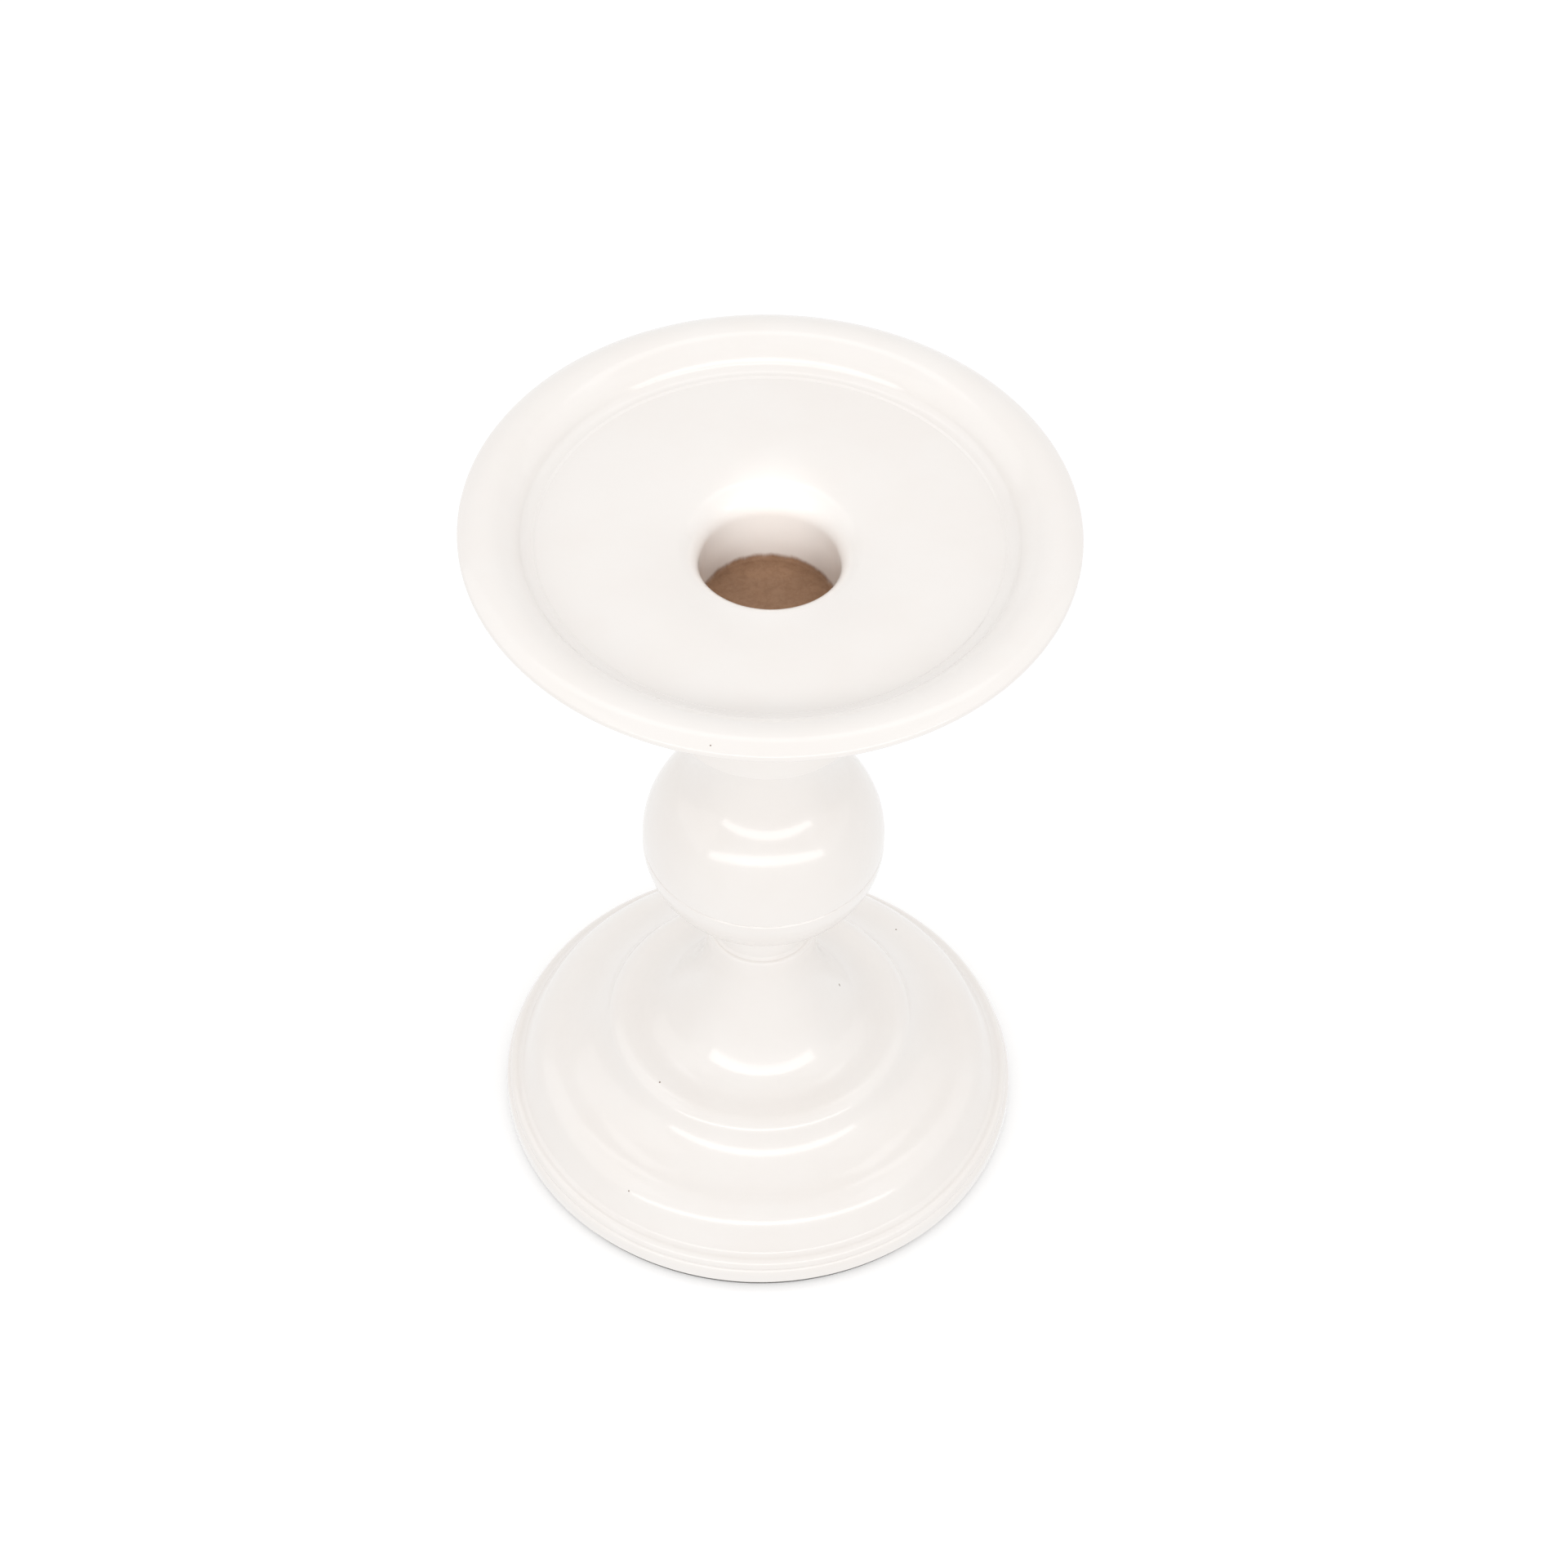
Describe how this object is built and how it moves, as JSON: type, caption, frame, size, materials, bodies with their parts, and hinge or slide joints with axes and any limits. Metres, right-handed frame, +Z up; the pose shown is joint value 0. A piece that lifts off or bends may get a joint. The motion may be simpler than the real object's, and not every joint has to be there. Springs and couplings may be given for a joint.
{
  "type": "candlestick",
  "caption": "Turned, lacquered wooden candlestick: dished candle plate over a socket cup, ball stem and stepped round base, glued and doweled, with a screw and a felt pad under the foot.",
  "frame": {"origin": "centre of the felt pad's underside, on the table", "axes": "+Z up along the turning axis, from the table through the stem to the candle socket"},
  "size_m": [0.1, 0.1, 0.148],
  "materials": {
    "lacquer": "warm white satin lacquer over turned beech, bare wood on the floor of the socket",
    "bare_beech": "bare beech with straight grain",
    "zinc_steel": "zinc plated",
    "felt": "pressed wool felt"
  },
  "bodies": {
    "root": {"candle_plate": "lacquer", "socket_cup": "lacquer", "upper_stem": "lacquer", "ball_dowel": "bare_beech", "lower_stem": "lacquer", "base": "lacquer", "base_screw": "zinc_steel", "felt_pad": "felt"}
  },
  "joints": []
}
